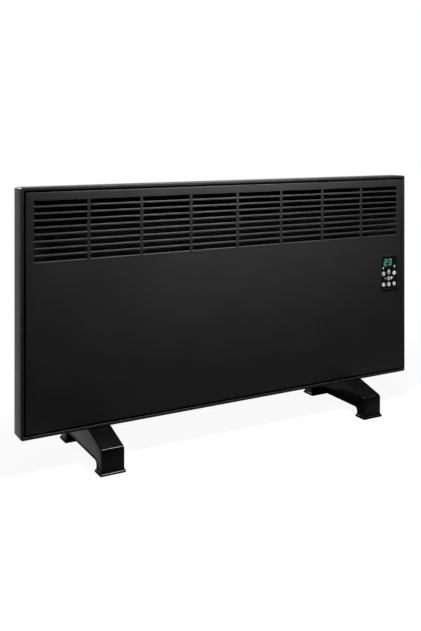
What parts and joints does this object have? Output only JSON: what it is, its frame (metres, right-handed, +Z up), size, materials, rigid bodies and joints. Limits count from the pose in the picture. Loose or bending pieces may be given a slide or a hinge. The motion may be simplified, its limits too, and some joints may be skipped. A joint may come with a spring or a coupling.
{
  "type": "wall panel convector heater",
  "caption": "Slim black panel convector heater with a louvred front, a digital control window and a pair of arched floor feet.",
  "frame": {"origin": "on the floor, at the middle of the footprint of the feet and half way along the heater's width", "axes": "+X to the heater's right as seen from the front, the front face looks along -Y, +Z up"},
  "size_m": [0.9, 0.221, 0.515],
  "materials": {
    "black_paint": "satin powder coat",
    "trim_plastic": "fine matt",
    "gloss_black": "polished",
    "smoked_lens": "polished, smoked",
    "display_body": "matt",
    "button_white": "satin",
    "circuit_board": "solder mask",
    "component_blue": "moulded",
    "natural_plastic": "moulded",
    "aluminium": "extruded",
    "galvanised": "galvanised",
    "ceramic": "unglazed",
    "lead_sleeve": "silicone sleeve",
    "foot_plastic": "fine moulded texture",
    "screw_steel": "black zinc plate"
  },
  "bodies": {
    "heater_body": {"rear_casing": "black_paint", "front_panel": "black_paint", "control_bezel": "trim_plastic", "control_fascia": "gloss_black", "display_window": "smoked_lens", "display_module": "display_body", "control_board": "circuit_board", "control_housing": "trim_plastic", "heating_indicator": "button_white", "window_indicator": "button_white", "board_tray": "natural_plastic", "power_board": "circuit_board", "power_relay": "component_blue", "supply_module": "component_blue", "filter_capacitor": "component_blue", "terminal_block": "natural_plastic", "heating_element": "aluminium", "element_bracket_left": "galvanised", "element_bracket_right": "galvanised", "element_cap_left": "ceramic", "element_cap_right": "ceramic", "heat_shield": "black_paint", "thermal_cutout": "ceramic", "cutout_bracket": "galvanised", "room_sensor": "natural_plastic", "sensor_clip": "natural_plastic", "element_lead_left": "lead_sleeve", "element_lead_right": "lead_sleeve", "display_ribbon": "lead_sleeve", "cable_gland": "foot_plastic", "gland_nut": "foot_plastic", "panel_bracket_lower_left": "galvanised", "panel_bracket_lower_right": "galvanised", "panel_bracket_upper_left": "galvanised", "panel_bracket_upper_right": "galvanised", "panel_screw_lower_left": "screw_steel", "panel_screw_lower_right": "screw_steel", "panel_screw_upper_left": "screw_steel", "panel_screw_upper_right": "screw_steel", "shield_screw_left": "screw_steel", "shield_screw_right": "screw_steel", "left_foot": "foot_plastic", "right_foot": "foot_plastic", "left_foot_screw_inner": "screw_steel", "left_foot_screw_outer": "screw_steel", "right_foot_screw_inner": "screw_steel", "right_foot_screw_outer": "screw_steel"},
    "power_key": {"power_button": "button_white"},
    "mode_key": {"mode_button": "button_white"},
    "up_key": {"up_button": "button_white"},
    "down_key": {"down_button": "button_white"},
    "timer_key": {"timer_button": "button_white"},
    "program_key": {"program_button": "button_white"},
    "lock_key": {"lock_button": "button_white"}
  },
  "joints": [
    {"name": "power_press", "type": "slide", "parent": "heater_body", "child": "power_key", "axis": [0, 1, 0], "range_m": [0, 0.0006], "stiffness_N_per_m": 400},
    {"name": "mode_press", "type": "slide", "parent": "heater_body", "child": "mode_key", "axis": [0, 1, 0], "range_m": [0, 0.0006], "stiffness_N_per_m": 400},
    {"name": "up_press", "type": "slide", "parent": "heater_body", "child": "up_key", "axis": [0, 1, 0], "range_m": [0, 0.0006], "stiffness_N_per_m": 400},
    {"name": "down_press", "type": "slide", "parent": "heater_body", "child": "down_key", "axis": [0, 1, 0], "range_m": [0, 0.0006], "stiffness_N_per_m": 400},
    {"name": "timer_press", "type": "slide", "parent": "heater_body", "child": "timer_key", "axis": [0, 1, 0], "range_m": [0, 0.0006], "stiffness_N_per_m": 400},
    {"name": "program_press", "type": "slide", "parent": "heater_body", "child": "program_key", "axis": [0, 1, 0], "range_m": [0, 0.0006], "stiffness_N_per_m": 400},
    {"name": "lock_press", "type": "slide", "parent": "heater_body", "child": "lock_key", "axis": [0, 1, 0], "range_m": [0, 0.0006], "stiffness_N_per_m": 400}
  ]
}
